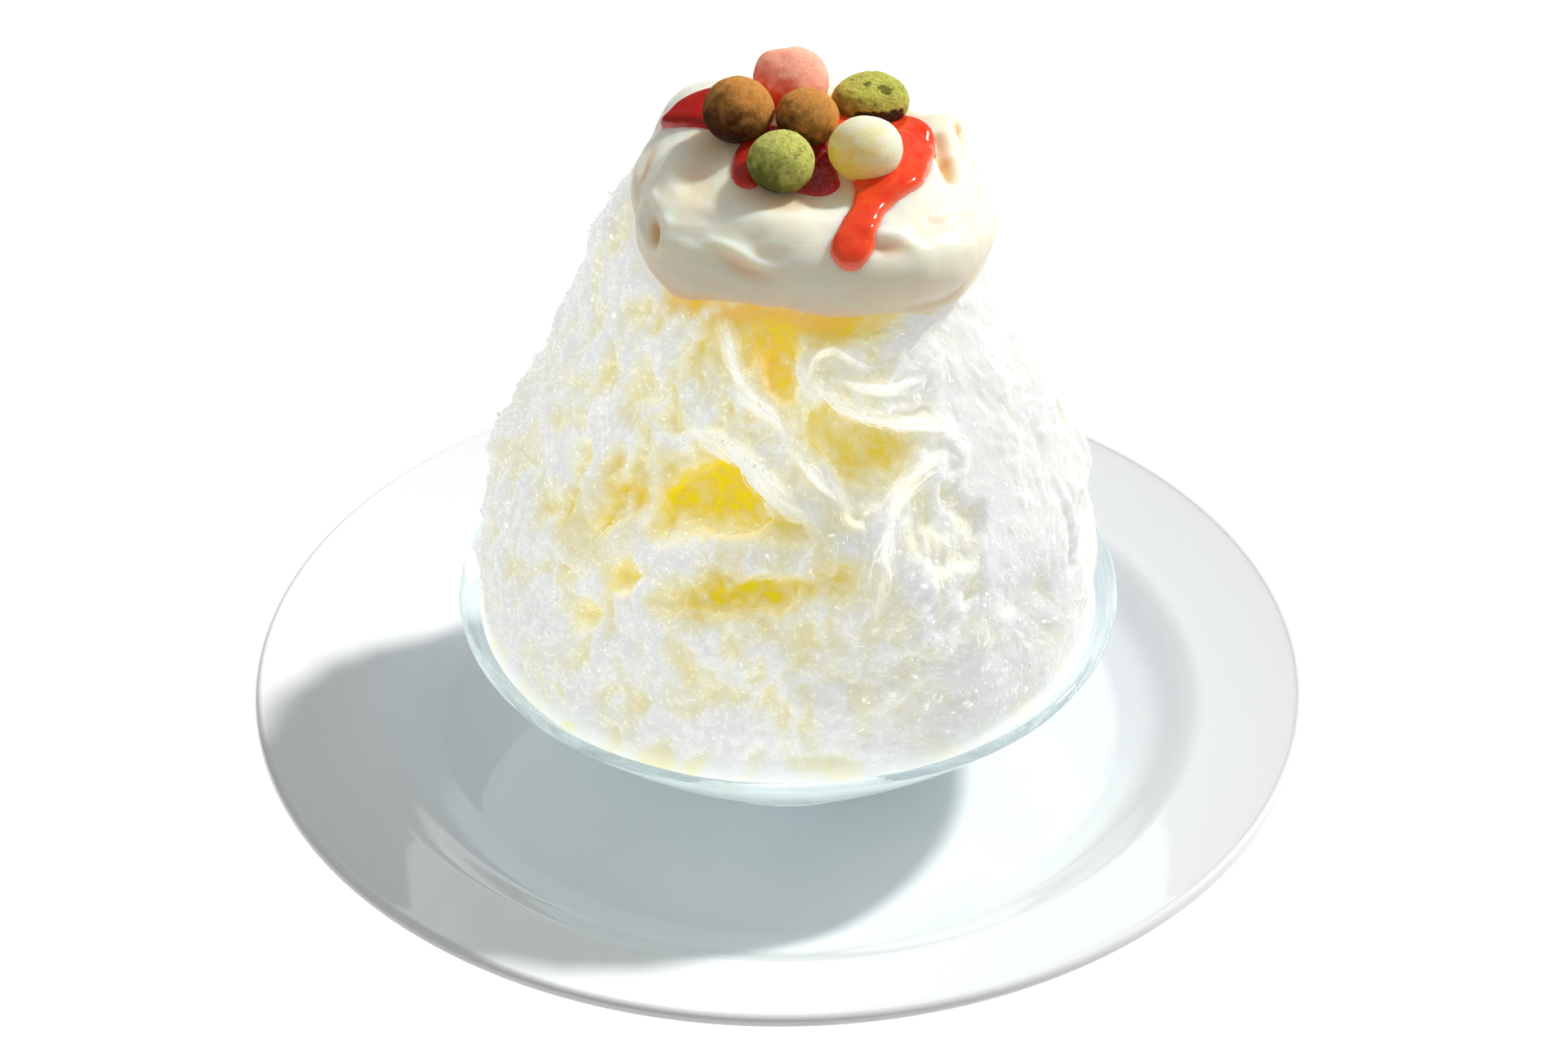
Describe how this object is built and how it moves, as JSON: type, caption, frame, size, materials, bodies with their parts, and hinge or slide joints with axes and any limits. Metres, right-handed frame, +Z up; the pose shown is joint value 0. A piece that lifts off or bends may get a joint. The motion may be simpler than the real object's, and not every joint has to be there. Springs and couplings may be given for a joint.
{
  "type": "kakigori",
  "caption": "Tall heap of shaved ice in a flared clear glass bowl, topped with whipped cream, red fruit sauce and dusted chocolate balls, standing on a wide-rimmed white plate.",
  "frame": {"origin": "middle of the plate's foot ring, on the surface that the plate stands on", "axes": "+Z up, along the plate's axis; -Y towards the front, where the ball of green tea powder and the drip of red sauce are; +X to the right seen from the front"},
  "size_m": [0.27, 0.27, 0.1972],
  "materials": {
    "white_glaze": "glossy white glaze",
    "clear_glass": "clear, polished, very slightly uneven",
    "shaved_ice": "translucent white flakes, soaked with yellow syrup in the hollows",
    "whipped_cream": "smooth, softly glossy, ivory white",
    "strawberry_powder": "fine pink powder, slightly lumpy",
    "green_tea_powder": "coarse green powder with darker specks",
    "cocoa_powder": "even brown powder",
    "white_powder": "cream white powder with bare yellow patches",
    "red_sauce": "wet, glossy, slightly see-through"
  },
  "bodies": {
    "root": {"plate": "white_glaze", "glass_bowl": "clear_glass", "shaved_ice": "shaved_ice", "whipped_cream": "whipped_cream", "ball_pink": "strawberry_powder", "ball_green_back": "green_tea_powder", "ball_cocoa_left": "cocoa_powder", "ball_cocoa_middle": "cocoa_powder", "ball_green_front": "green_tea_powder", "ball_white": "white_powder"}
  },
  "joints": []
}
